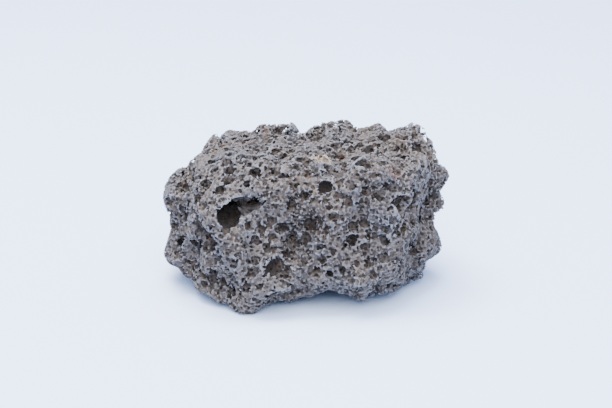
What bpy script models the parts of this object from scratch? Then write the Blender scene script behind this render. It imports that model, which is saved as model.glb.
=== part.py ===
"""Lava rock: one lump of grey-brown scoria, broken to a rough block and full of gas bubbles.

Metres, +Z up. The rock stands on four low feet at Z = 0, its long side along X, and its broken front
looks along -Y. Sizes below are in millimetres unless a name says otherwise.

The block is an icosphere whose vertices are pulled out along rays from CENTRE until they meet the form:
planes met with soft corners, with lumps melted on, hollows pressed in and three trains of waves over
them. Caves and pits are then cut from it with Boolean modifiers, and a last cut flattens the soles.
"""

import math

import bmesh
import bpy
import numpy as np
from mathutils import Matrix, Vector

MM = 0.001
NAME = "lava_rock"

# The block: faces as (azimuth, elevation, distance from CENTRE), azimuth 0 towards +X and 90 towards +Y.
CENTRE = (0.0, 0.0, 16.0)
CORNER_SOFTNESS = 0.7
FACES = {
    "front": (-88, 17, 18.2),
    "front_right": (-50, 12, 25.2),
    "front_top": (-95, 52, 18.4),
    "front_underside": (-80, -52, 20.6),
    "right": (-24, 3, 24.6),
    "right_back": (20, 0, 27.8),
    "right_top": (12, 40, 28.5),
    "right_underside": (-14, -42, 26.7),
    "left": (-147, 2, 26.2),
    "left_back": (172, 0, 29.6),
    "left_low": (-144, -25, 25.2),
    "left_top": (-150, 40, 23.4),
    "left_back_top": (160, 40, 24.8),
    "left_underside": (-150, -46, 26.0),
    "left_back_underside": (172, -42, 29.0),
    "back": (92, 5, 19.8),
    "back_right": (52, 5, 27.5),
    "back_left": (130, 5, 28.0),
    "back_top": (90, 45, 22.4),
    "back_underside": (90, -45, 22.0),
    "top": (-60, 87, 13.7),
    "bottom": (-90, -88, 14.3),
}

# Lumps melted onto the block: (middle, half sizes, blend).
LUMPS = {
    "upper_left_lobe": ((-12.5, -7.5, 24.4), (9.5, 6.0, 6.0), 2.5),
    "right_lobe": ((8.5, -10.4, 22.5), (11.0, 7.0, 8.6), 2.5),
    "right_bulge": ((9.8, -12.0, 19.0), (9.6, 7.8, 9.8), 1.6),
    "lower_left_lobe": ((-9.0, -15.6, 9.5), (8.5, 6.0, 8.0), 2.5),
    "lower_right_lobe": ((9.0, -14.0, 8.5), (8.0, 6.5, 6.0), 2.5),
    "top_left_knob": ((-3.4, 8.5, 29.0), (3.6, 4.0, 4.0), 1.5),
    "back_knob": ((-4.5, 14.0, 28.6), (4.0, 4.0, 2.8), 1.5),
    "top_middle_knob": ((8.5, 8.0, 26.0), (6.0, 5.0, 4.2), 1.5),
    "top_right_knob": ((19.8, 7.0, 28.1), (7.0, 6.0, 5.0), 2.0),
    "right_knob": ((26.5, 4.0, 22.4), (3.6, 4.0, 5.0), 1.2),
    "right_low_knob": ((27.2, 4.0, 16.8), (3.0, 4.0, 2.8), 1.2),
    "left_knob": ((-26.2, -1.0, 20.0), (3.6, 6.0, 3.4), 1.5),
    "left_low_knob": ((-26.0, -1.0, 5.8), (4.0, 6.0, 3.0), 1.5),
    "left_bowl_rim": ((-22.6, -11.4, 16.2), (4.0, 5.0, 5.0), 1.2),
    "left_cheek": ((-16.5, -11.6, 12.0), (6.8, 6.6, 6.8), 1.2),
    "front_foot": ((-12.9, -18.0, 2.2), (3.7, 3.5, 3.3), 1.5),
    "front_left_foot": ((-16.2, -13.2, 3.4), (4.2, 4.4, 2.9), 1.5),
    "left_front_foot": ((-19.0, -7.5, 3.6), (4.0, 5.0, 3.4), 1.5),
    "left_back_foot": ((-15.0, 11.0, 3.6), (6.0, 5.0, 4.0), 2.0),
    "right_foot": ((18.0, 0.0, 3.4), (6.5, 6.0, 3.8), 2.0),
    "right_back_foot": ((13.0, 12.5, 3.2), (6.0, 5.0, 4.0), 2.0),
}

# Waves over the block: (height, length, how many, seed).
WAVES = ((0.60, 12.0, 12, 21), (0.32, 6.4, 16, 11), (0.16, 3.8, 18, 12))

# Soft hollows pressed into the block: (middle, half sizes, blend).
HOLLOWS = {
    "middle_hollow": ((1.2, -23.4, 20.0), (4.4, 8.0, 5.2), 1.0),
    "middle_hollow_foot": ((-1.2, -23.4, 13.8), (3.4, 6.0, 3.8), 1.4),
    "upper_trough": ((-1.6, -15.5, 31.5), (3.2, 6.0, 4.0), 1.8),
    "right_dimple": ((11.5, -22.0, 19.5), (4.0, 4.4, 3.2), 1.6),
    "lower_lip": ((-3.5, -23.8, 2.6), (8.5, 5.8, 3.3), 0.6),
    "middle_valley": ((-2.4, -19.4, 25.0), (2.2, 3.6, 3.8), 0.8),
    "back_left_step": ((-12.0, 17.5, 33.2), (7.0, 7.0, 5.0), 1.2),
    "behind_right_lobe": ((8.0, -1.6, 33.8), (12.0, 4.4, 5.2), 1.2),
    "behind_left_lobe": ((-13.0, 4.4, 33.4), (8.0, 4.0, 4.6), 1.4),
    "left_step": ((-16.0, 8.0, 34.2), (7.0, 9.0, 4.0), 1.8),
    "top_saddle": ((-11.0, 10.0, 33.7), (7.0, 12.0, 4.6), 1.6),
    "left_waist": ((-32.3, -1.0, 12.0), (4.0, 9.0, 5.4), 1.5),
    "right_waist": ((32.0, 4.0, 9.5), (4.4, 9.0, 5.2), 1.5),
}

# Caves cut into the block: (middle, half sizes, turn about Y in degrees).
CAVES = {
    "mouth": ((-13.0, -17.8, 22.6), (4.9, 3.4, 2.1), -14),
    "left_bowl": ((-21.1, -15.7, 15.9), (3.7, 3.2, 3.7), 0),
    "mouth_slit": ((-10.8, -15.4, 22.6), (1.7, 4.6, 0.8), -10),
    "mouth_throat": ((-16.0, -15.4, 20.6), (2.8, 6.4, 2.9), 0),
    "top_groove": ((2.5, 10.0, 34.6), (2.5, 10.0, 6.0), 8),
}

# Single pits, each where the line from CENTRE through the point leaves the rock: (point, width, depth).
PITS = (
    ((-19.3, -17.0, 11.0), 3.0, 1.8),
    ((-6.3, -21.5, 10.9), 3.9, 3.0),
    ((-3.7, -21.4, 9.9), 2.8, 1.2),
    ((-10.7, -12.7, 28.9), 2.2, 2.1),
    ((-6.0, -12.6, 28.6), 2.6, 2.3),
    ((-4.6, -9.6, 30.2), 2.2, 0.9),
    ((3.9, -16.0, 27.1), 2.8, 2.8),
    ((8.6, -16.7, 26.7), 2.8, 1.1),
    ((12.5, -16.6, 26.0), 1.9, 1.3),
    ((17.5, -14.4, 25.9), 2.4, 2.2),
    ((18.4, -11.4, 28.7), 2.8, 1.4),
    ((9.4, -18.7, 15.9), 1.9, 1.9),
    ((-8.3, -20.7, 14.7), 2.0, 1.4),
    ((-3.3, -17.5, 23.2), 2.0, 1.7),
    ((-4.9, -18.4, 18.0), 3.0, 1.3),
    ((-0.2, -17.5, 15.5), 2.4, 1.6),
    ((1.2, -16.4, 18.4), 2.8, 1.6),
    ((-27.6, -4.8, 23.4), 2.4, 1.9),
    ((-28.1, -6.6, 20.0), 2.0, 1.6),
    ((-21.5, -11.7, 26.0), 2.2, 1.7),
    ((-22.6, -12.3, 22.7), 2.2, 1.9),
    ((-24.0, -11.0, 19.2), 2.2, 1.9),
    ((24.0, -6.0, 19.3), 2.3, 1.8),
    ((-26.0, -8.0, 6.6), 2.4, 1.5),
    ((-27.1, -6.7, 11.1), 2.2, 1.6),
    ((-10.8, 1.4, 31.0), 4.2, 2.4),
    ((-4.9, 2.6, 31.1), 2.4, 1.5),
    ((7.0, 2.4, 31.3), 2.2, 1.4),
    ((14.0, 1.3, 30.4), 3.0, 1.9),
    ((19.3, 0.4, 30.4), 2.6, 1.8),
    ((4.9, -21.0, 9.1), 1.9, 1.2),
    ((13.1, -19.9, 11.5), 1.9, 1.3),
    ((16.6, -16.4, 19.5), 1.9, 1.4),
    ((21.7, -11.4, 13.4), 2.2, 1.5),
    ((-15.1, -21.0, 11.9), 2.0, 1.3),
    ((-16.7, -13.4, 27.6), 2.2, 1.4),
    ((-19.4, -15.4, 7.2), 2.2, 1.8),
    ((-18.0, -16.8, 5.6), 2.4, 1.9),
    ((-16.2, -18.6, 4.1), 2.4, 1.8),
)

# Where a ray from CENTRE meets the form is sought between these distances. Its slope is felt over the step.
INNERMOST = 5.0
OUTERMOST = 60.0
HALVINGS = 30
SLOPE_STEP = 0.4

# Pits strewn over the rest: how many are tried, their widths, depth as a share of width, how much they
# lean to the small, and the wall kept.
STREWN_TRIES = 3000
STREWN_WIDTHS = (1.8, 5.8)
STREWN_DEPTHS = (0.4, 0.8)
STREWN_LEAN = 2.6
STREWN_SEED = 5
PIT_WALL = 0.3
FOOT_CLEARANCE = 3.2

# The broken front takes only narrow strewn pits: the way it looks, how squarely, and the widest pit.
FRONT = (-88, 17)
FRONT_SHARE = 0.55
WIDEST_IN_FRONT = 2.3

# Strewn pits stay shallow where the form falls away beside them.
EDGE_REACH = 3.0
MOST_FALL = 0.9

PIT_UNEVENNESS = 0.20
PIT_STRETCH = (1.2, 0.86, 1.0)
PIT_AXIS = (0.3, 0.5, 0.8)
PIT_TURN = 2.4
CAVE_UNEVENNESS = 0.08

# How finely the icospheres are divided, and the triangles kept before and after the cutting.
BLOCK_SUBDIVISIONS = 6
CAVE_SUBDIVISIONS = 3
PIT_SUBDIVISIONS = 2
CAVE_SEED = 100
PIT_SEED = 1000
BLOCK_TRIANGLES = 6000
ROCK_TRIANGLES = 9600
SHARP_ANGLE = math.radians(38)

# The slab under Z = 0 that flattens the soles of the feet.
FLOOR = (100.0, 100.0, 20.0)

# Moves the middle of the rock's bounding box over the origin.
TO_ORIGIN = (-0.1, 0.85)


def clear_scene():
    for obj in list(bpy.data.objects):
        bpy.data.objects.remove(obj, do_unlink=True)


def smooth_max(a, b, blend):
    """The larger of a and b, rounded where they are within blend of each other."""
    share = np.clip(0.5 + 0.5 * (a - b) / blend, 0.0, 1.0)
    return b + (a - b) * share + blend * share * (1.0 - share)


def direction(azimuth, elevation):
    azimuth, elevation = math.radians(azimuth), math.radians(elevation)
    return np.array((
        math.cos(azimuth) * math.cos(elevation),
        math.sin(azimuth) * math.cos(elevation),
        math.sin(elevation),
    ))


def ellipsoid(points, middle, half_sizes):
    """Roughly how far points lie outside an ellipsoid."""
    scaled = (points - middle) / half_sizes
    return (np.linalg.norm(scaled, axis=-1) - 1.0) * min(half_sizes)


def waves(points, height, length, count, seed):
    """Sum of plane waves whose directions, lengths and phases are strewn, of about this height."""
    strewn = np.random.RandomState(seed)
    ways = strewn.normal(size=(count, 3))
    ways /= np.linalg.norm(ways, axis=1)[:, None]
    ways *= 2.0 * np.pi / (length * strewn.uniform(0.7, 1.5, count))[:, None]
    phases = strewn.uniform(0.0, 2.0 * np.pi, count)
    return height * math.sqrt(2.0 / count) * np.sin(points @ ways.T + phases).sum(axis=-1)


def form(points):
    """Below 0 inside the lump, above 0 outside it, before anything is cut from it."""
    normals = np.array([direction(azimuth, elevation) for azimuth, elevation, _ in FACES.values()])
    distances = np.array([distance for _, _, distance in FACES.values()])
    outside = ((points - CENTRE) @ normals.T - distances) / CORNER_SOFTNESS
    highest = outside.max(axis=-1)
    solid = CORNER_SOFTNESS * (highest + np.log(np.exp(outside - highest[..., None]).sum(axis=-1)))
    for middle, half_sizes, blend in LUMPS.values():
        solid = -smooth_max(-solid, -ellipsoid(points, middle, half_sizes), blend)
    for middle, half_sizes, blend in HOLLOWS.values():
        solid = smooth_max(solid, -ellipsoid(points, middle, half_sizes), blend)
    for wave in WAVES:
        solid = solid + waves(points, *wave)
    return solid


def meet_form(ways):
    """The points where rays from CENTRE along these unit vectors leave the form, by halving."""
    near = np.full(len(ways), INNERMOST)
    far = np.full(len(ways), OUTERMOST)
    for _ in range(HALVINGS):
        middle = (near + far) / 2.0
        inside = form(CENTRE + ways * middle[:, None]) < 0.0
        near = np.where(inside, middle, near)
        far = np.where(inside, far, middle)
    return CENTRE + ways * near[:, None]


def form_normals(points):
    """Unit vectors out of the form at these points."""
    slopes = [form(points + SLOPE_STEP * axis) - form(points - SLOPE_STEP * axis) for axis in np.eye(3)]
    slopes = np.stack(slopes, axis=-1)
    return slopes / np.linalg.norm(slopes, axis=-1)[:, None]


def bulges(points, outwards):
    """How far the form falls away, on average, at EDGE_REACH to each side of these points."""
    across = np.cross(outwards, PIT_AXIS)
    across /= np.linalg.norm(across, axis=1)[:, None]
    up = np.cross(outwards, across)
    return sum(form(points + EDGE_REACH * way) for way in (across, -across, up, -up)) / 4.0


def pit_spheres():
    """(middle, radius) of the sphere that cuts each pit: it meets the mouth's rim and the pit's floor."""
    aims = np.array([point for point, _, _ in PITS])
    widths = np.array([width for _, width, _ in PITS])
    depths = np.array([depth for _, _, depth in PITS])
    strewn = np.random.RandomState(STREWN_SEED)
    more = strewn.normal(size=(STREWN_TRIES, 3))
    small, large = STREWN_WIDTHS
    more_widths = small + (large - small) * strewn.uniform(size=STREWN_TRIES) ** STREWN_LEAN
    more_depths = more_widths * strewn.uniform(*STREWN_DEPTHS, STREWN_TRIES)
    ways = np.concatenate([aims - CENTRE, more])
    ways /= np.linalg.norm(ways, axis=1)[:, None]
    mouths = meet_form(ways)
    outwards = form_normals(mouths)
    falls = bulges(mouths, outwards)
    depths = np.concatenate([depths, more_depths])
    rims = np.concatenate([widths, more_widths]) / 2.0
    radii = (rims**2 + depths**2) / (2.0 * depths)
    middles = mouths + outwards * (radii - depths)[:, None]
    kept = []
    for index in range(len(radii)):
        named = index < len(PITS)
        clear = all(
            np.linalg.norm(middles[index] - middles[other]) > radii[index] + radii[other] + PIT_WALL
            for other in kept
        )
        standing = mouths[index][2] > FOOT_CLEARANCE
        fine = rims[index] < WIDEST_IN_FRONT / 2.0 or outwards[index] @ direction(*FRONT) < FRONT_SHARE
        backed = falls[index] * depths[index] < MOST_FALL
        if named or (clear and standing and backed and fine and not at_cave(mouths[index], rims[index])):
            kept.append(index)
    return [(middles[index], radii[index]) for index in kept]


def at_cave(point, margin):
    """True where a strewn pit would break the rim of a cave."""
    return any(
        abs(ellipsoid(point, middle, half_sizes)) < margin + PIT_WALL
        for middle, half_sizes, _ in CAVES.values()
    )


def link(obj, collection):
    collection.objects.link(obj)
    return obj


def block(collection):
    """The uncut rock: an icosphere pulled onto the form."""
    mesh = bpy.data.meshes.new(NAME)
    build = bmesh.new()
    bmesh.ops.create_icosphere(build, subdivisions=BLOCK_SUBDIVISIONS, radius=1.0)
    ways = np.array([vertex.co for vertex in build.verts])
    ways /= np.linalg.norm(ways, axis=1)[:, None]
    for vertex, point in zip(build.verts, meet_form(ways)):
        vertex.co = Vector(point) * MM
    build.to_mesh(mesh)
    build.free()
    return link(bpy.data.objects.new(NAME, mesh), collection)


def add_ellipsoid(build, middle, half_sizes, turn, subdivisions, unevenness, seed):
    """An icosphere stretched to half_sizes, turned and placed, its vertices strewn in and out a little."""
    made = bmesh.ops.create_icosphere(build, subdivisions=subdivisions, radius=1.0)["verts"]
    strewn = np.random.RandomState(seed)
    for vertex, push in zip(made, strewn.uniform(-unevenness, unevenness, len(made))):
        vertex.co *= 1.0 + push
    stretch = Matrix.Diagonal((*(Vector(half_sizes) * MM), 1.0))
    place = Matrix.Translation(Vector(middle) * MM) @ turn @ stretch
    bmesh.ops.transform(build, matrix=place, verts=made)


def cutter(name, build, collection):
    mesh = bpy.data.meshes.new(name)
    build.to_mesh(mesh)
    build.free()
    obj = link(bpy.data.objects.new(name, mesh), collection)
    obj.hide_render = True
    obj.display_type = "WIRE"
    return obj


def cave_cutters(collection):
    made = []
    for seed, (name, (middle, half_sizes, turn)) in enumerate(CAVES.items()):
        build = bmesh.new()
        turned = Matrix.Rotation(math.radians(turn), 4, "Y")
        seed += CAVE_SEED
        add_ellipsoid(build, middle, half_sizes, turned, CAVE_SUBDIVISIONS, CAVE_UNEVENNESS, seed)
        made.append(cutter(name, build, collection))
    return made


def pit_cutters(collection):
    """The pits as few cutters, each of spheres that stay apart."""
    groups = []
    for sphere in pit_spheres():
        middle, radius = sphere
        reach = max(PIT_STRETCH) * (1.0 + PIT_UNEVENNESS)
        for group in groups:
            if all(np.linalg.norm(middle - at) > reach * (radius + size) for at, size in group):
                group.append(sphere)
                break
        else:
            groups.append([sphere])
    made = []
    for number, group in enumerate(groups, 1):
        build = bmesh.new()
        for seed, (middle, radius) in enumerate(group):
            turned = Matrix.Rotation(seed * PIT_TURN, 4, PIT_AXIS)
            sizes = Vector(PIT_STRETCH) * radius
            number_seed = PIT_SEED * number + seed
            add_ellipsoid(build, middle, sizes, turned, PIT_SUBDIVISIONS, PIT_UNEVENNESS, number_seed)
        made.append(cutter(f"pits_{number}", build, collection))
    return made


def floor_cutter(collection):
    """A slab under Z = 0."""
    build = bmesh.new()
    made = bmesh.ops.create_cube(build, size=1.0)["verts"]
    bmesh.ops.scale(build, vec=Vector(FLOOR) * MM, verts=made)
    bmesh.ops.translate(build, vec=Vector((0.0, 0.0, -FLOOR[2] / 2.0)) * MM, verts=made)
    return cutter("floor_cut", build, collection)


def decimate(obj, name, triangles, now):
    modifier = obj.modifiers.new(name, "DECIMATE")
    modifier.ratio = min(1.0, triangles / now)
    modifier.use_collapse_triangulate = True


def cut(obj, other):
    modifier = obj.modifiers.new(other.name, "BOOLEAN")
    modifier.operation = "DIFFERENCE"
    modifier.object = other


def triangles_now(obj):
    """How many triangles obj has with its modifiers so far."""
    evaluated = obj.evaluated_get(bpy.context.evaluated_depsgraph_get())
    mesh = evaluated.to_mesh()
    mesh.calc_loop_triangles()
    count = len(mesh.loop_triangles)
    evaluated.to_mesh_clear()
    return count


def scoria():
    """Weathered grey-brown scoria, dull all over."""
    material = bpy.data.materials.new("grey scoria")
    material.use_nodes = True
    shader = material.node_tree.nodes["Principled BSDF"]
    shader.inputs["Base Color"].default_value = (0.165, 0.150, 0.148, 1.0)
    shader.inputs["Roughness"].default_value = 0.95
    shader.inputs["Metallic"].default_value = 0.0
    return material


def main():
    clear_scene()
    scene = bpy.context.scene
    parts = bpy.data.collections.new(NAME)
    cutters = bpy.data.collections.new("cutters")
    scene.collection.children.link(parts)
    scene.collection.children.link(cutters)
    rock = block(parts)
    decimate(rock, "coarser block", BLOCK_TRIANGLES, len(rock.data.polygons))
    for other in cave_cutters(cutters) + pit_cutters(cutters):
        cut(rock, other)
    decimate(rock, "coarser rock", ROCK_TRIANGLES, triangles_now(rock))
    cut(rock, floor_cutter(cutters))
    shift = Matrix.Translation(Vector((*TO_ORIGIN, 0.0)) * MM)
    for obj in bpy.data.objects:
        obj.data.transform(shift)
    rock.data.materials.append(scoria())
    rock.data.shade_smooth()
    rock.data.set_sharp_from_angle(angle=SHARP_ANGLE)


main()
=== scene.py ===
"""Lava rock on a pale table: the scoria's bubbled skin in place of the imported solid, and a soft studio.

The skin is a level surface. A field over a box of points is below 0 in stone and above 0 in air. It starts
as the rock's form: planes met with soft corners, lumps melted on, soft hollows, waves. Caves, pits and
ever smaller gas bubbles are then cut from it, a froth of pores roughens what is left, and the surface
between stone and air is meshed.
Sizes are in millimetres in the functions and in metres in the finished meshes.
"""

import math

import bpy
import numpy as np
from bpy.props import FloatProperty, FloatVectorProperty, IntProperty, PointerProperty
from mathutils import Matrix, Vector


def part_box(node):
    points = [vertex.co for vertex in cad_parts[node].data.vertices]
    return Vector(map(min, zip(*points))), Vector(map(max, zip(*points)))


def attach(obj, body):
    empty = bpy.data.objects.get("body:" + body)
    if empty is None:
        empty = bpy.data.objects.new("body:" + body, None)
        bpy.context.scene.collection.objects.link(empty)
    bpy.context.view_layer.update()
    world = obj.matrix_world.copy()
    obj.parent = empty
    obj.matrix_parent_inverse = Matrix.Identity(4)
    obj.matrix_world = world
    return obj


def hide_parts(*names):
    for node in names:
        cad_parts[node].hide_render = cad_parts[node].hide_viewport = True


bl_info = {
    "name": "Lava Rock",
    "version": (1, 0, 0),
    "blender": (4, 5, 0),
    "location": "View3D > Sidebar > Lava Rock",
    "description": "Builds a bubbled lump of scoria and a soft studio around it",
    "category": "Object",
}

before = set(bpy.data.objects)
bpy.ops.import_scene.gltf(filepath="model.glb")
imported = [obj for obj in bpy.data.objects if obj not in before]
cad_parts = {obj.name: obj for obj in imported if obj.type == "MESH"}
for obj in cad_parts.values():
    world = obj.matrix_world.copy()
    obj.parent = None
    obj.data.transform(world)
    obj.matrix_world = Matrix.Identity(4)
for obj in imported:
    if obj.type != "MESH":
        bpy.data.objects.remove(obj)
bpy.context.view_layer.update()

MM = 0.001
NODE = "lava_rock"

# The block: faces as (azimuth, elevation, distance from CENTRE), azimuth 0 towards +X and 90 towards +Y.
CENTRE = (0.0, 0.0, 16.0)
CORNER_SOFTNESS = 0.7
FACES = {
    "front": (-88, 17, 18.2),
    "front_right": (-50, 12, 25.2),
    "front_top": (-95, 52, 18.4),
    "front_underside": (-80, -52, 20.6),
    "right": (-24, 3, 24.6),
    "right_back": (20, 0, 27.8),
    "right_top": (12, 40, 28.5),
    "right_underside": (-14, -42, 26.7),
    "left": (-147, 2, 26.2),
    "left_back": (172, 0, 29.6),
    "left_low": (-144, -25, 25.2),
    "left_top": (-150, 40, 23.4),
    "left_back_top": (160, 40, 24.8),
    "left_underside": (-150, -46, 26.0),
    "left_back_underside": (172, -42, 29.0),
    "back": (92, 5, 19.8),
    "back_right": (52, 5, 27.5),
    "back_left": (130, 5, 28.0),
    "back_top": (90, 45, 22.4),
    "back_underside": (90, -45, 22.0),
    "top": (-60, 87, 13.7),
    "bottom": (-90, -88, 14.3),
}

# Lumps melted onto the block: (middle, half sizes, blend).
LUMPS = {
    "upper_left_lobe": ((-12.5, -7.5, 24.4), (9.5, 6.0, 6.0), 2.5),
    "right_lobe": ((8.5, -10.4, 22.5), (11.0, 7.0, 8.6), 2.5),
    "right_bulge": ((9.8, -12.0, 19.0), (9.6, 7.8, 9.8), 1.6),
    "lower_left_lobe": ((-9.0, -15.6, 9.5), (8.5, 6.0, 8.0), 2.5),
    "lower_right_lobe": ((9.0, -14.0, 8.5), (8.0, 6.5, 6.0), 2.5),
    "top_left_knob": ((-3.4, 8.5, 29.0), (3.6, 4.0, 4.0), 1.5),
    "back_knob": ((-4.5, 14.0, 28.6), (4.0, 4.0, 2.8), 1.5),
    "top_middle_knob": ((8.5, 8.0, 26.0), (6.0, 5.0, 4.2), 1.5),
    "top_right_knob": ((19.8, 7.0, 28.1), (7.0, 6.0, 5.0), 2.0),
    "right_knob": ((26.5, 4.0, 22.4), (3.6, 4.0, 5.0), 1.2),
    "right_low_knob": ((27.2, 4.0, 16.8), (3.0, 4.0, 2.8), 1.2),
    "left_knob": ((-26.2, -1.0, 20.0), (3.6, 6.0, 3.4), 1.5),
    "left_low_knob": ((-26.0, -1.0, 5.8), (4.0, 6.0, 3.0), 1.5),
    "left_bowl_rim": ((-22.6, -11.4, 16.2), (4.0, 5.0, 5.0), 1.2),
    "left_cheek": ((-16.5, -11.6, 12.0), (6.8, 6.6, 6.8), 1.2),
    "front_foot": ((-12.9, -18.0, 2.2), (3.7, 3.5, 3.3), 1.5),
    "front_left_foot": ((-16.2, -13.2, 3.4), (4.2, 4.4, 2.9), 1.5),
    "left_front_foot": ((-19.0, -7.5, 3.6), (4.0, 5.0, 3.4), 1.5),
    "left_back_foot": ((-15.0, 11.0, 3.6), (6.0, 5.0, 4.0), 2.0),
    "right_foot": ((18.0, 0.0, 3.4), (6.5, 6.0, 3.8), 2.0),
    "right_back_foot": ((13.0, 12.5, 3.2), (6.0, 5.0, 4.0), 2.0),
}

# Soft hollows pressed into the block: (middle, half sizes, blend).
HOLLOWS = {
    "middle_hollow": ((1.2, -23.4, 20.0), (4.4, 8.0, 5.2), 1.0),
    "middle_hollow_foot": ((-1.2, -23.4, 13.8), (3.4, 6.0, 3.8), 1.4),
    "upper_trough": ((-1.6, -15.5, 31.5), (3.2, 6.0, 4.0), 1.8),
    "right_dimple": ((11.5, -22.0, 19.5), (4.0, 4.4, 3.2), 1.6),
    "lower_lip": ((-3.5, -23.8, 2.6), (8.5, 5.8, 3.3), 0.6),
    "middle_valley": ((-2.4, -19.4, 25.0), (2.2, 3.6, 3.8), 0.8),
    "back_left_step": ((-12.0, 17.5, 33.2), (7.0, 7.0, 5.0), 1.2),
    "behind_right_lobe": ((8.0, -1.6, 33.8), (12.0, 4.4, 5.2), 1.2),
    "behind_left_lobe": ((-13.0, 4.4, 33.4), (8.0, 4.0, 4.6), 1.4),
    "left_step": ((-16.0, 8.0, 34.2), (7.0, 9.0, 4.0), 1.8),
    "top_saddle": ((-11.0, 10.0, 33.7), (7.0, 12.0, 4.6), 1.6),
    "left_waist": ((-32.3, -1.0, 12.0), (4.0, 9.0, 5.4), 1.5),
    "right_waist": ((32.0, 4.0, 9.5), (4.4, 9.0, 5.2), 1.5),
}

# Waves over the block: (height, length, how many, seed).
WAVES = ((0.60, 12.0, 12, 21), (0.32, 6.4, 16, 11), (0.16, 3.8, 18, 12))

# Caves cut into the block: (middle, half sizes, turn about Y in degrees).
CAVES = {
    "mouth": ((-13.0, -17.8, 22.6), (4.9, 3.4, 2.1), -14),
    "left_bowl": ((-21.1, -15.7, 15.9), (3.7, 3.2, 3.7), 0),
    "mouth_slit": ((-10.8, -15.4, 22.6), (1.7, 4.6, 0.8), -10),
    "mouth_throat": ((-16.0, -15.4, 20.6), (2.8, 6.4, 2.9), 0),
    "top_groove": ((2.5, 10.0, 34.6), (2.5, 10.0, 6.0), 8),
}

# Single pits, each where the line from CENTRE through the point leaves the rock: (point, width, depth).
PITS = (
    ((-19.3, -17.0, 11.0), 3.0, 1.8),
    ((-6.3, -21.5, 10.9), 3.9, 3.0),
    ((-3.7, -21.4, 9.9), 2.8, 1.2),
    ((-10.7, -12.7, 28.9), 2.2, 2.1),
    ((-6.0, -12.6, 28.6), 2.6, 2.3),
    ((-4.6, -9.6, 30.2), 2.2, 0.9),
    ((3.9, -16.0, 27.1), 2.8, 2.8),
    ((8.6, -16.7, 26.7), 2.8, 1.1),
    ((12.5, -16.6, 26.0), 1.9, 1.3),
    ((17.5, -14.4, 25.9), 2.4, 2.2),
    ((18.4, -11.4, 28.7), 2.8, 1.4),
    ((9.4, -18.7, 15.9), 1.9, 1.9),
    ((-8.3, -20.7, 14.7), 2.0, 1.4),
    ((-3.3, -17.5, 23.2), 2.0, 1.7),
    ((-4.9, -18.4, 18.0), 3.0, 1.3),
    ((-0.2, -17.5, 15.5), 2.4, 1.6),
    ((1.2, -16.4, 18.4), 2.8, 1.6),
    ((-27.6, -4.8, 23.4), 2.4, 1.9),
    ((-28.1, -6.6, 20.0), 2.0, 1.6),
    ((-21.5, -11.7, 26.0), 2.2, 1.7),
    ((-22.6, -12.3, 22.7), 2.2, 1.9),
    ((-24.0, -11.0, 19.2), 2.2, 1.9),
    ((24.0, -6.0, 19.3), 2.3, 1.8),
    ((-26.0, -8.0, 6.6), 2.4, 1.5),
    ((-27.1, -6.7, 11.1), 2.2, 1.6),
    ((-10.8, 1.4, 31.0), 4.2, 2.4),
    ((-4.9, 2.6, 31.1), 2.4, 1.5),
    ((7.0, 2.4, 31.3), 2.2, 1.4),
    ((14.0, 1.3, 30.4), 3.0, 1.9),
    ((19.3, 0.4, 30.4), 2.6, 1.8),
    ((4.9, -21.0, 9.1), 1.9, 1.2),
    ((13.1, -19.9, 11.5), 1.9, 1.3),
    ((16.6, -16.4, 19.5), 1.9, 1.4),
    ((21.7, -11.4, 13.4), 2.2, 1.5),
    ((-15.1, -21.0, 11.9), 2.0, 1.3),
    ((-16.7, -13.4, 27.6), 2.2, 1.4),
    ((-19.4, -15.4, 7.2), 2.2, 1.8),
    ((-18.0, -16.8, 5.6), 2.4, 1.9),
    ((-16.2, -18.6, 4.1), 2.4, 1.8),
)

# Colour only: a tan crust and a rusty patch, as (middle, reach).
TAN_PATCH = ((3.3, -7.0, 30.6), 3.6)
RUSTY_PATCH = ((18.4, -12.0, 28.6), 2.4)

# Where a ray from CENTRE meets the form is sought between these distances. Its slope is felt over the step.
INNERMOST = 5.0
OUTERMOST = 60.0
HALVINGS = 30
SLOPE_STEP = 0.4

# Pits strewn over the rest: how many are tried, their widths, depth as a share of width, how much they
# lean to the small, and the wall kept.
STREWN_TRIES = 3000
STREWN_WIDTHS = (1.8, 5.8)
STREWN_DEPTHS = (0.4, 0.8)
STREWN_LEAN = 2.6
STREWN_SEED = 5
PIT_WALL = 0.3
FOOT_CLEARANCE = 3.2

# The broken front takes only narrow strewn pits: the way it looks, how squarely, and the widest pit.
FRONT = (-88, 17)
FRONT_SHARE = 0.55
WIDEST_IN_FRONT = 2.3

# Strewn pits stay shallow where the form falls away beside them.
EDGE_REACH = 3.0
MOST_FALL = 0.9

# Each pit's sphere is stretched by these shares and turned about the axis, by this many radians a pit more.
PIT_STRETCH = (1.2, 0.86, 1.0)
PIT_AXIS = (0.3, 0.5, 0.8)
PIT_TURN = 2.4

# Moves the middle of the rock's bounding box over the origin.
TO_ORIGIN = np.array((-0.1, 0.85, 0.0))

# How far noise pushes the walls in and out: in millimetres, but as a share of the radius for bubbles.
CAVE_UNEVENNESS = 0.24
PIT_UNEVENNESS = 0.18
BUBBLE_UNEVENNESS = 0.12
SKIN_UNEVENNESS = 0.03

# That noise, as (field steps from one random number to the next, seed).
CAVE_NOISE = (8, 31)
PIT_NOISE, PIT_NOISE_SHARE = (4, 32), 0.5
BUBBLE_NOISE = (3, 34)
SKIN_NOISE = (2, 33)

# How far past its own size a cut is worked out: shares of the size, and millimetres more for the large.
ELLIPSOID_SLACK = (1.15, 1.0)
BUBBLE_SLACK = 1.5

# Bubbles in three sizes, each on a shaken lattice: (spacing, smallest radius, largest radius, share kept).
BUBBLES = (
    (2.40, 0.55, 0.95, 0.40),
    (1.30, 0.36, 0.55, 0.55),
    (0.80, 0.25, 0.40, 0.92),
)
BUBBLE_SEED = 40
BUBBLE_SHAKE = (0.12, 0.88)
BUBBLE_STRETCH = (0.75, 1.3)
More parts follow.
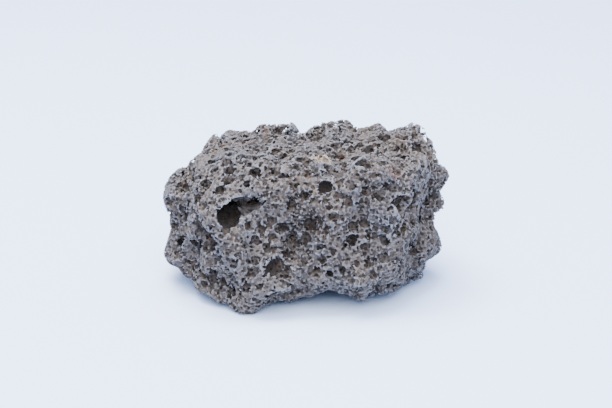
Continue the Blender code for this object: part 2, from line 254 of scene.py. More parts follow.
# How deep a bubble's middle lies under the surface, as a share of its radius.
SUNK = (0.1, 0.6)
# The share of stone in the box this many field points each way round a point says how thin the stone is.
BULK_REACH = 8
# No bubble's radius is over the second of these times what that share has above the first.
THIN_STONE = (0.11, 2.45)
# A bubble shrunk under this share of its class's smallest is left out.
MOST_SHRUNK = 0.7
# Down in the pits bubbles shrink: (depth where it starts, share lost per millimetre, least share).
PIT_SHRINKING = (2.0, 0.8, 0.6)
# Stone left behind a bubble: before the next bubble and, in the rock's back half and above the height of its
# crest, before a pit or the air.
WALL_BEHIND = 0.12
WALL_LEFT = 1.0
BACK_HALF = 0.0
CREST = 26.0
# Bubbles with radii under this may break into their neighbours, as in a froth.
FROTHY = 0.45
# The field's slope is felt this many steps each way, and counts as at least this steep.
SLOPE_STEPS = 2.0
LEAST_STEEPNESS = 0.3

# The froth, in two sizes: (spacing, depth, seed). Its bubbles' radii are shares of the spacing.
GRAINS = ((0.60, 0.14, 51), (0.42, 0.10, 52))
FROTH_RADII = (0.38, 0.70)
FROTH_SHAKE = (0.05, 0.95)
# The froth reaches this far under the surface, and this many field steps over it.
GRAIN_NEAR = 0.45
GRAIN_OVER = 1.5
# It is weaker where the stone is thin: (share of stone where it is weakest, range to full, least share).
FIRM_STONE = (0.22, 0.2, 0.15)
# It is weaker down in the pits: (depth where it starts, share lost per millimetre, least share).
FROTH_FADING = (1.2, 0.5, 0.5)

# Reach of the box that says how hollow the rock is at a point, in field points each way.
HOLLOW_REACH = 3
# How far the field runs past the solid, and the most triangles in one piece of the skin.
MARGIN = 1.4
MOST_TRIANGLES = 196000

# The camera: what it looks at, its height in degrees, how far back it stands and its sensor's width.
AIM = (-0.1, -6.55, 20.0)
CAMERA_RISE = 18.0
CAMERA_DISTANCE = 428.0
SENSOR = 36.0

# The lamps and the table that curves up into a backdrop, in metres.
KEY_PLACE, KEY_SIZE = (-0.12, 0.08, 0.60), 0.45
FILL_PLACE, FILL_SIZE, FILL_SHARE = (0.0, -0.52, 0.50), 0.60, 0.78
TABLE_HALF = 1.5
BACKDROP_RISE = 1.6
BACKDROP_BEND = 0.35
BEND_POINTS = 24


# ---------------------------------------------------------------------------------------------------------
# The rock's form


def smooth_max(a, b, blend):
    """The larger of a and b, rounded where they are within blend of each other."""
    share = np.clip(0.5 + 0.5 * (a - b) / blend, 0.0, 1.0)
    return b + (a - b) * share + blend * share * (1.0 - share)


def direction(azimuth, elevation):
    """The unit vector that points this way, in degrees."""
    azimuth, elevation = math.radians(azimuth), math.radians(elevation)
    return np.array((
        math.cos(azimuth) * math.cos(elevation),
        math.sin(azimuth) * math.cos(elevation),
        math.sin(elevation),
    ))


def ellipsoid(points, middle, half_sizes):
    """Roughly how far points lie outside an ellipsoid."""
    scaled = (points - middle) / half_sizes
    return (np.linalg.norm(scaled, axis=-1) - 1.0) * min(half_sizes)


def waves(points, height, length, count, seed):
    """Sum of plane waves whose directions, lengths and phases are strewn, of about this height."""
    strewn = np.random.RandomState(seed)
    ways = strewn.normal(size=(count, 3))
    ways /= np.linalg.norm(ways, axis=1)[:, None]
    ways *= 2.0 * np.pi / (length * strewn.uniform(0.7, 1.5, count))[:, None]
    phases = strewn.uniform(0.0, 2.0 * np.pi, count)
    return height * math.sqrt(2.0 / count) * np.sin(points @ ways.T + phases).sum(axis=-1)


def form(points, hollows=HOLLOWS):
    """Below 0 inside the lump, above 0 outside it, before anything is cut from it.

    The planes' heights are joined by the logarithm of the sum of their exponentials, which is their
    largest with the corners rounded. A lump is joined by a rounded smallest, a hollow by a rounded largest
    of the form and the ellipsoid turned inside out, and the waves are added.
    """
    normals = np.array([direction(azimuth, elevation) for azimuth, elevation, _ in FACES.values()])
    distances = np.array([distance for _, _, distance in FACES.values()])
    outside = ((points - CENTRE) @ normals.T - distances) / CORNER_SOFTNESS
    highest = outside.max(axis=-1)
    solid = CORNER_SOFTNESS * (highest + np.log(np.exp(outside - highest[..., None]).sum(axis=-1)))
    for middle, half_sizes, blend in LUMPS.values():
        solid = -smooth_max(-solid, -ellipsoid(points, middle, half_sizes), blend)
    for middle, half_sizes, blend in hollows.values():
        solid = smooth_max(solid, -ellipsoid(points, middle, half_sizes), blend)
    for wave in WAVES:
        solid = solid + waves(points, *wave)
    return solid


def meet_form(ways):
    """The points where rays from CENTRE along these unit vectors leave the form, by halving."""
    near = np.full(len(ways), INNERMOST)
    far = np.full(len(ways), OUTERMOST)
    for _ in range(HALVINGS):
        middle = (near + far) / 2.0
        inside = form(CENTRE + ways * middle[:, None]) < 0.0
        near = np.where(inside, middle, near)
        far = np.where(inside, far, middle)
    return CENTRE + ways * near[:, None]


def form_normals(points):
    """Unit vectors out of the form at these points."""
    slopes = [form(points + SLOPE_STEP * axis) - form(points - SLOPE_STEP * axis) for axis in np.eye(3)]
    slopes = np.stack(slopes, axis=-1)
    return slopes / np.linalg.norm(slopes, axis=-1)[:, None]


def at_cave(point, margin):
    """True where a strewn pit would break the rim of a cave."""
    return any(
        abs(ellipsoid(point, middle, half_sizes)) < margin + PIT_WALL
        for middle, half_sizes, _ in CAVES.values()
    )


def bulges(points, outwards):
    """How far the form falls away, on average, at EDGE_REACH to each side of these points."""
    across = np.cross(outwards, PIT_AXIS)
    across /= np.linalg.norm(across, axis=1)[:, None]
    up = np.cross(outwards, across)
    return sum(form(points + EDGE_REACH * way) for way in (across, -across, up, -up)) / 4.0


def pit_spheres():
    """(middle, radius) of the sphere that cuts each pit: it meets the mouth's rim and the pit's floor."""
    aims = np.array([point for point, _, _ in PITS])
    widths = np.array([width for _, width, _ in PITS])
    depths = np.array([depth for _, _, depth in PITS])
    strewn = np.random.RandomState(STREWN_SEED)
    more = strewn.normal(size=(STREWN_TRIES, 3))
    small, large = STREWN_WIDTHS
    more_widths = small + (large - small) * strewn.uniform(size=STREWN_TRIES) ** STREWN_LEAN
    more_depths = more_widths * strewn.uniform(*STREWN_DEPTHS, STREWN_TRIES)
    ways = np.concatenate([aims - CENTRE, more])
    ways /= np.linalg.norm(ways, axis=1)[:, None]
    mouths = meet_form(ways)
    outwards = form_normals(mouths)
    falls = bulges(mouths, outwards)
    depths = np.concatenate([depths, more_depths])
    rims = np.concatenate([widths, more_widths]) / 2.0
    radii = (rims**2 + depths**2) / (2.0 * depths)
    middles = mouths + outwards * (radii - depths)[:, None]
    kept = []
    for index in range(len(radii)):
        named = index < len(PITS)
        clear = all(
            np.linalg.norm(middles[index] - middles[other]) > radii[index] + radii[other] + PIT_WALL
            for other in kept
        )
        standing = mouths[index][2] > FOOT_CLEARANCE
        fine = rims[index] < WIDEST_IN_FRONT / 2.0 or outwards[index] @ direction(*FRONT) < FRONT_SHARE
        backed = falls[index] * depths[index] < MOST_FALL
        if named or (clear and standing and backed and fine and not at_cave(mouths[index], rims[index])):
            kept.append(index)
    return [(middles[index], radii[index]) for index in kept]


def froth(points, low, high, spacing, seed):
    """How deep each point lies in a bubble of the froth: 1 at its middle, 0 at its wall and less outside.

    The middles are a cubic lattice's points, each shaken within its own cell, so the nearest are in the
    point's cell or one of the 26 around it. A bubble's depth is 1 less the square of the distance from its
    middle over its radius, and where bubbles overlap the deeper one counts, which leaves a thin wall.
    """
    strewn = np.random.RandomState(seed)
    counts = np.ceil((np.array(high) - low) / spacing).astype(int) + 3
    shaken = strewn.uniform(*FROTH_SHAKE, (*counts, 3)).astype(np.float32)
    narrowness = (1.0 / strewn.uniform(*FROTH_RADII, counts) ** 2).astype(np.float32)
    place = ((points - low) / spacing + 1.0).astype(np.float32)
    cell = np.clip(place.astype(np.int32), 1, counts - 2)
    within = place - cell
    nearest = np.ones(len(points), np.float32)
    for step in np.ndindex(3, 3, 3):
        way = np.array(step, np.int32) - 1
        other = cell + way
        spot = (other[:, 0], other[:, 1], other[:, 2])
        offset = shaken[spot] + way.astype(np.float32) - within
        np.minimum(nearest, (offset * offset).sum(axis=1) * narrowness[spot], out=nearest)
    return 1.0 - nearest


def froths(field, points):
    """The froth of each size at these points."""
    return [froth(points, field.low, field.high, spacing, seed) for spacing, _, seed in GRAINS]


# ---------------------------------------------------------------------------------------------------------
# The field, and the surface between stone and air


class Field:
    """Values on a box of evenly spaced points: below 0 in stone, above 0 in air, roughly in millimetres.

    The form is worked out on every COARSE-th point and filled in between. The number of steps along each
    axis is a multiple of WHOLE, which COARSE and the spacings of the noise divide.
    """

    COARSE = 4
    WHOLE = 24

    def __init__(self, step, low, high):
        self.step = step
        cells = np.ceil((np.array(high) - low) / (step * self.WHOLE)).astype(int) * self.WHOLE
        self.low = np.array(low)
        self.axes = [self.low[a] + step * np.arange(cells[a] + 1) for a in range(3)]
        self.high = np.array([axis[-1] for axis in self.axes])
        coarse = np.stack(np.meshgrid(*[axis[:: self.COARSE] for axis in self.axes], indexing="ij"), axis=-1)
        rows = [(form(plane), form(plane, {})) for plane in coarse]
        self.values, self.whole = [enlarge(np.array(half, np.float32), self.COARSE) for half in zip(*rows)]

    def noise(self, spacing, seed):
        """Random numbers of spread about 1 on every spacing-th point, with straight runs between them."""
        strewn = np.random.RandomState(seed)
        shape = [(len(axis) - 1) // spacing + 1 for axis in self.axes]
        return enlarge(strewn.normal(size=shape).astype(np.float32), spacing)

    def window(self, middle, reach):
        """The slices of the points within reach of middle, and those points' offsets from it, by axis."""
        slices, offsets = [], []
        for axis, at, far in zip(self.axes, middle, np.broadcast_to(reach, 3)):
            first = max(0, int((at - far - axis[0]) / self.step))
            last = min(len(axis), int((at + far - axis[0]) / self.step) + 2)
            slices.append(slice(first, last))
            offsets.append((axis[first:last] - at).astype(np.float32))
        return tuple(slices), offsets

    def at(self, points, values=None):
        """The values at the grid points nearest to these points."""
        places = np.rint((points - self.low) / self.step).astype(int)
        places = np.clip(places, 0, np.array(self.values.shape) - 1)
        return (self.values if values is None else values)[tuple(places.T)]

    def cut_ellipsoid(self, middle, half_sizes, turn, wobble, unevenness):
        """Cuts a turned ellipsoid, its wall pushed in and out by the wobble."""
        share, more = ELLIPSOID_SLACK
        slices, (x, y, z) = self.window(middle, max(half_sizes) * share + more)
        offsets = np.stack(np.meshgrid(x, y, z, indexing="ij"), axis=-1)
        scaled = (offsets @ np.array(turn.to_3x3(), np.float32)) / np.array(half_sizes, np.float32)
        inside = (1.0 - np.linalg.norm(scaled, axis=-1)) * min(half_sizes)
        block = self.values[slices]
        np.maximum(block, inside + unevenness * wobble[slices], out=block)

    def cut_bubbles(self, middles, radii, stretches, wobble, unevenness):
        """Cuts near-round bubbles, each stretched along the axes."""
        for middle, radius, stretch in zip(middles, radii, stretches):
            slices, (x, y, z) = self.window(middle, radius * BUBBLE_SLACK)
            x, y, z = x * stretch[0], y * stretch[1], z * stretch[2]
            distance = np.sqrt((x * x)[:, None, None] + (y * y)[None, :, None] + (z * z)[None, None, :])
            block = self.values[slices]
            np.maximum(block, radius - distance + unevenness * radius * wobble[slices], out=block)


def enlarge(values, times):
    """A grid made times finer, each axis in turn filled in by straight runs."""
    for axis in range(3):
        places = np.arange((values.shape[axis] - 1) * times + 1)
        whole = np.minimum(places // times, values.shape[axis] - 2)
        share = ((places - whole * times) / times).astype(np.float32)
        share = share.reshape([-1 if a == axis else 1 for a in range(3)])
        values = values.take(whole, axis) * (1.0 - share) + values.take(whole + 1, axis) * share
    return values


def blur(values, reach):
    """Each value made the mean of the box that reaches this many points each way."""
    for axis in range(3):
        pad = [(reach + 1, reach) if a == axis else (0, 0) for a in range(3)]
        sums = np.cumsum(np.pad(values, pad, mode="edge"), axis=axis, dtype=np.float64)
        width = 2 * reach + 1
        high = np.take(sums, np.arange(width, sums.shape[axis]), axis)
        low = np.take(sums, np.arange(0, sums.shape[axis] - width), axis)
        values = ((high - low) / width).astype(np.float32)
    return values


def faded(depth, fading):
    """1 down to the depth where fading starts, then less by its rate per millimetre, down to its least."""
    start, rate, least = fading
    return np.clip(1.0 - rate * (depth - start), least, 1.0)


def surface_bubbles(field, spacing, smallest, largest, kept, seed):
    """Bubbles just under the surface: (middles, radii, stretches).

    Their middles are the points of a shaken cubic lattice within half a spacing of the surface. Each is
    moved along the field's slope until it lies SUNK of its radius deep, so it opens to the air by a mouth
    narrower than itself. Bubbles shrink where the stone round them is thin and down in the pits, and at the
    back and along the crest one that would break through is left out.
    """
    strewn = np.random.RandomState(seed)
    counts = [int((axis[-1] - axis[0]) / spacing) for axis in field.axes]
    lattice = np.stack(np.meshgrid(*[np.arange(count) for count in counts], indexing="ij"), axis=-1)
    lattice = lattice.reshape(-1, 3) + strewn.uniform(*BUBBLE_SHAKE, (np.prod(counts), 3))
    radii = strewn.uniform(smallest, largest, len(lattice))
    stretches = strewn.uniform(*BUBBLE_STRETCH, (len(lattice), 3))
    middles = field.low + lattice * spacing
    height = field.at(middles)
    used = (np.abs(height) < 0.5 * spacing) & (strewn.uniform(size=len(radii)) < kept)
    middles, radii, stretches, height = middles[used], radii[used], stretches[used], height[used]
    reach = SLOPE_STEPS * field.step
    slope = np.stack([
        field.at(middles + reach * way) - field.at(middles - reach * way) for way in np.eye(3)
    ], axis=1) / (2.0 * reach)
    steepness = np.maximum(np.linalg.norm(slope, axis=1), LEAST_STEEPNESS)
    thinnest, growth = THIN_STONE
    radii = np.minimum(radii, growth * np.maximum(field.at(middles, field.bulk) - thinnest, 0.0))
    radii = radii * faded(-field.at(middles, field.uncut), PIT_SHRINKING)
    deeper = (height + strewn.uniform(*SUNK, len(radii)) * radii) / steepness
    inwards = -slope / steepness[:, None]
    middles = middles + inwards * deeper[:, None]
    walled = field.at(middles + inwards * (radii + WALL_BEHIND)[:, None]) < -WALL_BEHIND
    thick = field.at(middles + inwards * (2.0 * radii + WALL_LEFT)[:, None], field.pitted) < 0.0
    thick |= (middles[:, 1] < BACK_HALF) & (middles[:, 2] < CREST)
    whole = (radii > MOST_SHRUNK * smallest) & thick & (walled | (radii < FROTHY))
    return middles[whole], radii[whole], stretches[whole]


def surface_net(field):
    """The surface between stone and air as (points, quads).

    Each grid edge that leaves stone gives one quad, whose corners are the four cells around the edge, and
    each cell's point is the mean of the places where the surface crosses that cell's edges.
    """
    values = field.values
    inside = values < 0.0
    cell_shape = np.array(values.shape) - 1
    owners, spots = [], []
    for axis in range(3):
        order = [axis] + [a for a in range(3) if a != axis]
        turned, stone = values.transpose(order), inside.transpose(order)
        i, j, k = np.nonzero(stone[:-1] != stone[1:])
        before, after = turned[i, j, k], turned[i + 1, j, k]
        share = before / (before - after)
        spot = np.empty((len(i), 3))
        spot[:, order] = np.stack([i + share, j, k], axis=1)
        around = [(j - 1, k - 1), (j, k - 1), (j, k), (j - 1, k)]
        cells = np.empty((len(i), 4), np.int64)
        for corner, (across, up) in enumerate(around):
            place = [None] * 3
            for a, value in zip(order, (i, across, up)):
                place[a] = value
            cells[:, corner] = np.ravel_multi_index(place, cell_shape)
        backwards = stone[i, j, k] == (axis == 1)
        cells[backwards] = cells[backwards][:, ::-1]
        owners.append(cells)
        spots.append(spot)
    owners, spots = np.concatenate(owners), np.concatenate(spots)
    used, quads = np.unique(owners, return_inverse=True)
    quads = quads.reshape(owners.shape)
    shares = np.bincount(quads.ravel(), minlength=len(used))
    points = np.stack([
        np.bincount(quads.ravel(), np.repeat(spots[:, a], 4), len(used)) / shares for a in range(3)
    ], axis=1)
    return points * field.step + field.low, quads


def rock_field(settings):
    """The field with the caves, the pits, the three sizes of bubble and the froth cut."""
    low, high = np.array(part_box(NODE)) / MM
    field = Field(settings.step / MM, low - MARGIN - TO_ORIGIN, high + MARGIN - TO_ORIGIN)
    field.uncut = field.values.copy()
    wobble = field.noise(*CAVE_NOISE) + PIT_NOISE_SHARE * field.noise(*PIT_NOISE)
    for middle, half_sizes, turn in CAVES.values():
        turn = Matrix.Rotation(math.radians(turn), 4, "Y")
        field.cut_ellipsoid(middle, half_sizes, turn, wobble, CAVE_UNEVENNESS)
    for number, (middle, radius) in enumerate(pit_spheres()):
        turn = Matrix.Rotation(number * PIT_TURN, 4, PIT_AXIS)
        field.cut_ellipsoid(middle, np.array(PIT_STRETCH) * radius, turn, wobble, PIT_UNEVENNESS)
    field.pitted = field.values.copy()
    field.bulk = blur((field.values < 0.0).astype(np.float32), BULK_REACH)
    wobble = field.noise(*BUBBLE_NOISE)
    for number, (spacing, smallest, largest, kept) in enumerate(BUBBLES):
        scale = settings.bubbles
        found = surface_bubbles(
            field, spacing * scale, smallest * scale, largest * scale, kept, BUBBLE_SEED + number
        )
        field.cut_bubbles(*found, wobble, BUBBLE_UNEVENNESS)
    del field.pitted
    near = np.nonzero((field.values > -GRAIN_NEAR) & (field.values < GRAIN_OVER * field.step))
    points = np.stack([axis[index] for axis, index in zip(field.axes, near)], axis=-1)
    weakest, span, least = FIRM_STONE
    firmness = np.clip((field.bulk[near] - weakest) / span, least, 1.0)
    firmness *= faded(-field.uncut[near], FROTH_FADING)
    for grain, (_, depth, _) in zip(froths(field, points), GRAINS):
        field.values[near] += depth * firmness * grain
    field.values += SKIN_UNEVENNESS * field.noise(*SKIN_NOISE)
    floor = field.axes[2].astype(np.float32)
    np.maximum(field.values, -floor[None, None, :], out=field.values)
    return field


# ---------------------------------------------------------------------------------------------------------
# Meshes


def unfolded(faces):
    """The triangles without those that lie back to back on the same three points and enclose nothing."""
    first, second, third = np.sort(faces, axis=1).astype(np.int64).T
    count = int(third.max()) + 1
    _, owner, shares = np.unique(
        (first * count + second) * count + third, return_inverse=True, return_counts=True
    )
    return faces[(shares[owner] == 1) & (first < second) & (second < third)]


def largest_part(points, faces):
    """The points and faces of the piece with most faces, by passing the lowest number along the edges."""
    label = np.arange(len(points))
    first = faces.ravel()
    second = np.roll(faces, -1, axis=1).ravel()
    while True:
        lowest = np.minimum(label[first], label[second])
        before = label.copy()
        np.minimum.at(label, first, lowest)
        np.minimum.at(label, second, lowest)
        label = label[label]
        if np.array_equal(before, label):
            break
    main = np.bincount(label[faces[:, 0]]).argmax()
    kept = label == main
    number = np.cumsum(kept) - 1
    return points[kept], number[faces[kept[faces[:, 0]]]]


def sectors(points, faces, count):
    """The faces in count groups of like size by the way they face round the upright axis.

    Each group is given as the points it uses and its faces' corners among them. Groups side by side use the
    same points along their border, so there is no gap between them.
    """
    middles = points[faces].mean(axis=1)
    order = np.argsort(np.arctan2(middles[:, 1], middles[:, 0]), kind="stable")
    for group in np.array_split(order, count):
        used, corners = np.unique(faces[group], return_inverse=True)
        yield used, corners.reshape(-1, 3)


def mesh_of(name, points, faces):
    """A mesh from arrays of points in metres and of faces that all have as many corners."""
    mesh = bpy.data.meshes.new(name)
    mesh.vertices.add(len(points))
    mesh.vertices.foreach_set("co", points.astype(np.float32).ravel())
    mesh.loops.add(faces.size)
    mesh.loops.foreach_set("vertex_index", faces.astype(np.int32).ravel())
    mesh.polygons.add(len(faces))
    mesh.polygons.foreach_set("loop_start", np.arange(0, faces.size, faces.shape[1], dtype=np.int32))
    mesh.update(calc_edges=True)
    return mesh


def arrays_of(mesh):
    """(points, triangles) of a mesh."""
    mesh.calc_loop_triangles()
    points = np.empty(len(mesh.vertices) * 3, np.float32)
    mesh.vertices.foreach_get("co", points)
    faces = np.empty(len(mesh.loop_triangles) * 3, np.int32)
    mesh.loop_triangles.foreach_get("vertices", faces)
    return points.reshape(-1, 3), faces.reshape(-1, 3)


def thinned(points, faces, triangles):
    """The surface brought down to this many triangles, those that matter least to its shape first."""
    mesh = mesh_of("thinning", points, faces)
    obj = bpy.data.objects.new("thinning", mesh)
    bpy.context.scene.collection.objects.link(obj)
    modifier = obj.modifiers.new("thinning", "DECIMATE")
    modifier.ratio = min(1.0, triangles / (2.0 * len(faces)))
    modifier.use_collapse_triangulate = True
    evaluated = obj.evaluated_get(bpy.context.evaluated_depsgraph_get())
    found = arrays_of(evaluated.to_mesh())
    evaluated.to_mesh_clear()
    bpy.data.objects.remove(obj)
    bpy.data.meshes.remove(mesh)
    return found


def near_to(points, middle, reach):
    """1 at the middle, falling evenly to 0 at the reach."""
    return np.clip(1.0 - np.linalg.norm(points - middle, axis=1) / reach, 0.0, 1.0)


def store(mesh, name, values):
    """A number for each vertex, under this name."""
    attribute = mesh.attributes.new(name, "FLOAT", "POINT")
    attribute.data.foreach_set("value", values.astype(np.float32))


def add_piece(name, mesh, material):
    """An object that shows the mesh in this material."""
    obj = bpy.data.objects.new(name, mesh)
    bpy.context.scene.collection.objects.link(obj)
    mesh.materials.append(material)
    return obj


# ---------------------------------------------------------------------------------------------------------
# Materials


def linear(hex_colour):
    """An sRGB hex colour as linear red, green and blue."""
    parts = [int(hex_colour[i : i + 2], 16) / 255.0 for i in (1, 3, 5)]
    return [part / 12.92 if part <= 0.04045 else ((part + 0.055) / 1.055) ** 2.4 for part in parts]


def add_node(tree, kind, settings=None, inputs=None):
    """Adds a node. settings are its properties; inputs are values, or sockets to link from."""
    node = tree.nodes.new(kind)
    for key, value in (settings or {}).items():
        setattr(node, key, value)
    for key, value in (inputs or {}).items():
        if isinstance(value, bpy.types.NodeSocket):
            tree.links.new(value, node.inputs[key])
        else:
            node.inputs[key].default_value = value
    return node


def ramp(tree, factor, stops):
    """A colour ramp with (position, colour) stops, where a number stands for that grey."""
    node = add_node(tree, "ShaderNodeValToRGB", inputs={"Fac": factor})
    band = node.color_ramp
    while len(band.elements) < len(stops):
        band.elements.new(0.5)
    for element, (position, colour) in zip(band.elements, stops):
        element.position = position
        element.color = (*([colour] * 3 if isinstance(colour, (int, float)) else colour), 1.0)
    return node.outputs["Color"]


def mix(tree, factor, first, second, blend="MIX"):
    """The colour first changed towards second by the factor, or blended with it another way."""
    return add_node(
        tree, "ShaderNodeMix", {"data_type": "RGBA", "blend_type": blend},
        {"Factor": factor, "A": first, "B": second},
    ).outputs["Result"]


def scoria():
    """Scoria, a basalt froth: dull grey-brown glass and fine crystals, with a painted highlight, partly real
    wear, on its bubble walls and broken edges, darker and browner down in the bubbles, hollows and pits,
    partly painted shade, with a little rust in some."""
    material = bpy.data.materials.new("weathered scoria, painted light and shade")
    material.use_nodes = True
    tree = material.node_tree
    shader = tree.nodes["Principled BSDF"]
    place = add_node(tree, "ShaderNodeTexCoord").outputs["Object"]

    def noise(size, detail=3.0):
        """Soft noise whose patches are about this many millimetres across."""
        return add_node(tree, "ShaderNodeTexNoise", None, {
            "Vector": place, "Scale": 1.0 / (size * MM), "Detail": detail, "Roughness": 0.55}).outputs["Fac"]

    def mark(name):
        """The number that the mesh stores under this name."""
        return add_node(tree, "ShaderNodeAttribute", {"attribute_name": name}).outputs["Fac"]

    def deeper(value, shallow, deep, share):
        """0 where the value is shallow, rising evenly to the share where it is deep."""
        return add_node(tree, "ShaderNodeMapRange", None, {
            "Value": value, "From Min": shallow, "From Max": deep, "To Max": share}).outputs["Result"]

    def paint(base, factor, colour):
        """The base changed towards an sRGB hex colour by the factor."""
        return mix(tree, factor, base, (*linear(colour), 1.0))

    # The pale greys for froth walls and worn edges are partly painted highlight; the dark browns for dirt
    # and shade are partly painted shade.
    stone, brown, slate = "#5A514D", "#56493F", "#53535A"
    wall, worn_and_highlight = "#736F6F", "#8D8E96"
    dirt_and_shade, shade = "#40362F", "#241D1A"
    rust, ochre = "#6E4A39", "#A4937F"
    hollow, bulk, speck, depth = mark("hollow"), mark("bulk"), mark("grain"), mark("depth")

    # The stone, with browner patches about 6 mm across and slate ones about 9 mm.
    base = paint((*linear(stone), 1.0), ramp(tree, noise(6.0), [(0.45, 0.0), (0.62, 0.85)]), brown)
    base = paint(base, ramp(tree, noise(9.0, 2.0), [(0.50, 0.0), (0.66, 0.7)]), slate)
    # Walls of the froth are painted pale, partly a painted highlight on their lit tops, and its pores brown
    # and darker, partly painted shade.
    base = paint(base, ramp(tree, speck, [(0.0, 0.40), (0.3, 0.0)]), wall)
    base = paint(base, ramp(tree, speck, [(0.40, 0.0), (1.0, 0.4)]), dirt_and_shade)
    # Broken edges, with air all round, are painted a pale grey: partly wear, partly a painted highlight.
    base = paint(base, ramp(tree, hollow, [(0.14, 0.42), (0.38, 0.0)]), worn_and_highlight)
    base = paint(base, ramp(tree, bulk, [(0.20, 0.3), (0.40, 0.0)]), worn_and_highlight)
    # Painted shade, with some dirt, darkens the hollows, the large bubbles and the deep pits.
    base = paint(base, ramp(tree, bulk, [(0.54, 0.0), (0.80, 0.5)]), dirt_and_shade)
    base = paint(base, ramp(tree, hollow, [(0.46, 0.0), (0.76, 0.7)]), shade)
    base = paint(base, deeper(depth, 0.6, 2.8, 0.45), dirt_and_shade)
    base = paint(base, deeper(mark("pit"), 0.9, 2.6, 0.7), shade)
    # Crystals about 0.3 mm across.
    crystals = ramp(tree, noise(0.30, 2.0), [(0.35, 0.42), (0.65, 0.88)])
    base = mix(tree, 0.7, base, crystals, "MULTIPLY")
    # Iron rust in some hollows, a rusty patch, and a tan stain.
    rusty = ramp(tree, noise(3.2, 2.0), [(0.60, 0.0), (0.74, 0.5)])
    rusty = add_node(tree, "ShaderNodeMath", {"operation": "MULTIPLY"}, {
        0: rusty, 1: deeper(depth, 0.6, 2.8, 1.0)}).outputs["Value"]
    base = paint(base, rusty, rust)
    base = paint(base, ramp(tree, mark("rust"), [(0.1, 0.0), (0.7, 0.7)]), rust)
    base = paint(base, ramp(tree, mark("tan"), [(0.15, 0.0), (0.6, 0.75)]), ochre)
    tree.links.new(base, shader.inputs["Base Color"])
    shader.inputs["Roughness"].default_value = 0.92
    shader.inputs["IOR"].default_value = 1.5
    shader.inputs["Specular IOR Level"].default_value = 0.35
    # Pores about 0.4 mm across, too fine for the mesh.
    pores = add_node(
        tree, "ShaderNodeTexVoronoi", {"feature": "F1"},
        {"Vector": place, "Scale": 1.0 / (0.42 * MM), "Randomness": 1.0},
    ).outputs["Distance"]
    bump = add_node(tree, "ShaderNodeBump", None, {"Strength": 0.8, "Distance": 0.12 * MM, "Height": pores})
    tree.links.new(bump.outputs["Normal"], shader.inputs["Normal"])
    return material


def plain(name, colour, roughness):
    """A material of one colour with a faint sheen."""
    material = bpy.data.materials.new(name)
    material.use_nodes = True
    shader = material.node_tree.nodes["Principled BSDF"]
    shader.inputs["Base Color"].default_value = (*colour, 1.0)
    shader.inputs["Roughness"].default_value = roughness
    shader.inputs["Specular IOR Level"].default_value = 0.2
    return material


# ---------------------------------------------------------------------------------------------------------
# Settings, operators and panel


class RockSettings(bpy.types.PropertyGroup):
    step: FloatProperty(
        name="Field Step", description="Spacing of the points the skin is worked out on",
        default=0.00015, min=0.0001, unit="LENGTH",
    )
    bubbles: FloatProperty(
        name="Bubble Scale", description="Size of the gas bubbles against a common scoria's",
        default=1.0, min=0.5, max=3.0,
    )
    triangles: IntProperty(
        name="Skin Triangles", description="How many triangles the skin is brought down to",
        default=960000, min=20000,
    )


class StageSettings(bpy.types.PropertyGroup):
    floor: FloatVectorProperty(
        name="Floor", description="Colour of the table and backdrop",
        default=linear("#D2E2FF"), size=3, subtype="COLOR", min=0.0, max=1.0,
    )
    key_power: FloatProperty(
        name="Key Light", description="Power of the soft light", default=13.5, unit="POWER",
    )
    sky: FloatVectorProperty(
        name="Sky", description="Colour of the light from all round",
        default=linear("#C8DCFF"), size=3, subtype="COLOR", min=0.0, max=1.0,
    )
    sky_strength: FloatProperty(
        name="Sky Strength", description="Strength of the light from all round", default=2.1, min=0.0,
    )
    lens: FloatProperty(name="Lens", description="Focal length in millimetres", default=120.0, unit="CAMERA")


class OBJECT_OT_lava_rock_skin(bpy.types.Operator):
    """Builds the bubbled skin that stands for the solid rock"""

    bl_idname = "object.lava_rock_skin"
    bl_label = "Rock Skin"

    def execute(self, context):
        settings = context.scene.lava_rock
        field = rock_field(settings)
        points, quads = surface_net(field)
        points, faces = thinned(points, quads, settings.triangles)
        points, faces = largest_part(points, unfolded(faces))
        points[:, 2] = np.maximum(points[:, 2], 0.0)
        hollow = blur((field.values < 0.0).astype(np.float32), HOLLOW_REACH)
        coarse, fine = froths(field, points)
        marks = {
            "hollow": field.at(points, hollow),
            "depth": -field.at(points, field.whole),
            "pit": -field.at(points, field.uncut),
            "bulk": field.at(points, field.bulk),
            "grain": 0.5 * coarse + fine,
            "tan": near_to(points, *TAN_PATCH),
            "rust": near_to(points, *RUSTY_PATCH),
        }
        pieces = math.ceil(len(faces) / MOST_TRIANGLES)
        material = scoria()
        for number, (used, corners) in enumerate(sectors(points, faces, pieces), 1):
            name = f"rock_skin_{number}"
            mesh = mesh_of(name, (points[used] + TO_ORIGIN) * MM, corners)
            for mark, values in marks.items():
                store(mesh, mark, values[used])
            mesh.shade_smooth()
            skin = add_piece(name, mesh, material)
            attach(skin, "root")
            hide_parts(NODE)
        return {"FINISHED"}


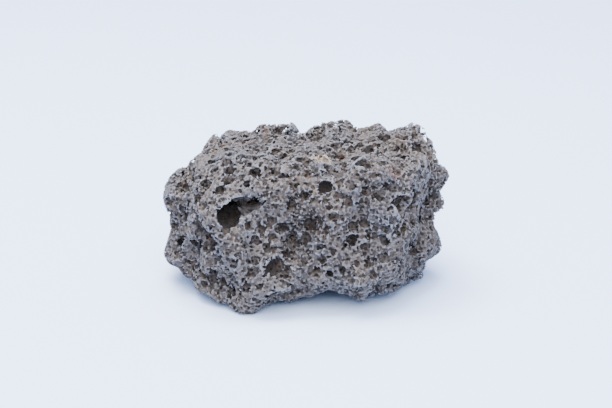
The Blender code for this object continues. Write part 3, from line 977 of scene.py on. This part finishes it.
class SCENE_OT_lava_rock_stage(bpy.types.Operator):
    """Builds the pale table, the soft lights and the camera"""

    bl_idname = "scene.lava_rock_stage"
    bl_label = "Stage"

    def execute(self, context):
        settings = context.scene.lava_stage
        half, bend = TABLE_HALF, BACKDROP_BEND
        turn = np.linspace(0.0, math.pi / 2.0, BEND_POINTS)
        depths = np.concatenate([[-half], half - bend + bend * np.sin(turn), [half]])
        heights = np.concatenate([[0.0], bend - bend * np.cos(turn), [BACKDROP_RISE]])
        across = np.array([-half * 2.0, half * 2.0])
        grid = np.stack([
            np.repeat(across[None, :], len(depths), 0),
            np.repeat(depths[:, None], 2, 1),
            np.repeat(heights[:, None], 2, 1),
        ], axis=-1).reshape(-1, 3)
        row = np.arange(len(depths) - 1)[:, None] * 2
        sweep = mesh_of("backdrop", grid, row + np.array([0, 1, 3, 2]))
        sweep.shade_smooth()
        backdrop = add_piece("backdrop", sweep, plain("matt paper", settings.floor, 0.9))

        lights = (
            ("key", KEY_PLACE, KEY_SIZE, settings.key_power),
            ("fill", FILL_PLACE, FILL_SIZE, settings.key_power * FILL_SHARE),
        )
        for name, place, size, power in lights:
            lamp = bpy.data.lights.new(name, "AREA")
            lamp.size, lamp.energy = size, power
            obj = bpy.data.objects.new(name, lamp)
            context.scene.collection.objects.link(obj)
            obj.location = place
            obj.rotation_euler = (-Vector(place)).to_track_quat("-Z", "Y").to_euler()
        world = bpy.data.worlds.new("studio")
        context.scene.world = world
        world.use_nodes = True
        background = world.node_tree.nodes["Background"]
        background.inputs["Color"].default_value = (*settings.sky, 1.0)
        background.inputs["Strength"].default_value = settings.sky_strength

        camera = bpy.data.objects.new("camera", bpy.data.cameras.new("camera"))
        context.scene.collection.objects.link(camera)
        camera.data.lens = settings.lens
        camera.data.sensor_width = SENSOR
        camera.data.dof.use_dof = False
        rise = math.radians(CAMERA_RISE)
        look = Vector((0.0, math.cos(rise), -math.sin(rise)))
        camera.location = (Vector(AIM) - look * CAMERA_DISTANCE) * MM
        camera.rotation_euler = look.to_track_quat("-Z", "Y").to_euler()
        camera.data.clip_start = 0.01
        context.scene.camera = camera
        return {"FINISHED"}


class VIEW3D_PT_lava_rock(bpy.types.Panel):
    bl_idname = "VIEW3D_PT_lava_rock"
    bl_label = "Lava Rock"
    bl_space_type = "VIEW_3D"
    bl_region_type = "UI"
    bl_category = "Lava Rock"

    def draw(self, context):
        layout = self.layout
        for group in (context.scene.lava_rock, context.scene.lava_stage):
            box = layout.box()
            for name in group.bl_rna.properties.keys():
                if name not in ("rna_type", "name"):
                    box.prop(group, name)
        for operator in OPERATORS:
            layout.operator(operator.bl_idname)


OPERATORS = (OBJECT_OT_lava_rock_skin, SCENE_OT_lava_rock_stage)
CLASSES = (RockSettings, StageSettings, *OPERATORS, VIEW3D_PT_lava_rock)


def register():
    for cls in CLASSES:
        bpy.utils.register_class(cls)
    bpy.types.Scene.lava_rock = PointerProperty(type=RockSettings)
    bpy.types.Scene.lava_stage = PointerProperty(type=StageSettings)


def unregister():
    del bpy.types.Scene.lava_stage
    del bpy.types.Scene.lava_rock
    for cls in reversed(CLASSES):
        bpy.utils.unregister_class(cls)


def main():
    register()
    bpy.ops.object.lava_rock_skin()
    bpy.ops.scene.lava_rock_stage()
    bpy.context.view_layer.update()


if __name__ == "__main__":
    main()
